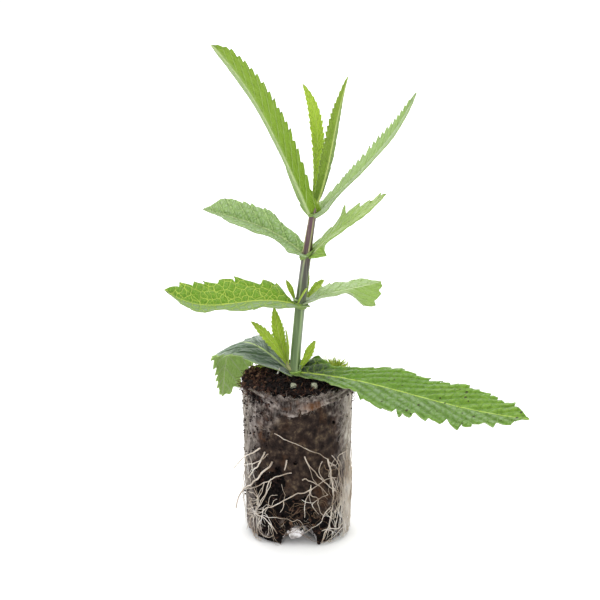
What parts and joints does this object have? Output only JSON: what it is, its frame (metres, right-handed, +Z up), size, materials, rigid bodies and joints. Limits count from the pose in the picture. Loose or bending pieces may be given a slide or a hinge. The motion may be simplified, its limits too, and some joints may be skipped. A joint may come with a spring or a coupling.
{
  "type": "potted verbena",
  "caption": "Young verbena with crossed pairs of toothed leaves on a square stem, rooted in a paper-sleeved plug of growing medium.",
  "frame": {"origin": "middle of the plug's flat foot, on the surface that it stands on", "axes": "+Z up along the plug, -Y towards the front with the worn arch in the foot, +X to the right, where the longest leaf reaches"},
  "size_m": [0.1077, 0.075, 0.1593],
  "materials": {
    "growing_medium": "moist, crumbly peat and coir",
    "paper_sleeve": "damp, fibrous plug paper, matt and partly see-through",
    "root": "smooth, cream",
    "moss": "fine, matt tuft",
    "perlite": "pale, matt, pitted",
    "stem": "green to purple-brown, ridged, short hairs",
    "leaf_old": "quilted, slightly glossy",
    "leaf_middle": "quilted, slightly glossy",
    "leaf_young": "soft, satin"
  },
  "bodies": {
    "root": {"growing_medium": "growing_medium", "paper_sleeve": "paper_sleeve", "roots_front": "root", "roots_back": "root", "moss_tuft": "moss", "perlite_grain_right": "perlite", "perlite_grain_left": "perlite", "stem": "stem", "leaf_1_right": "leaf_old", "leaf_1_left": "leaf_old", "leaf_2_left": "leaf_middle", "leaf_2_right": "leaf_middle", "leaf_3_left": "leaf_middle", "leaf_3_right": "leaf_middle", "leaf_4_left": "leaf_middle", "leaf_4_right": "leaf_middle", "leaf_5_left": "leaf_young", "leaf_5_right": "leaf_young", "shoot_1_left": "leaf_young", "shoot_1_right": "leaf_young", "shoot_2_left": "leaf_young", "shoot_2_right": "leaf_young"}
  },
  "joints": []
}
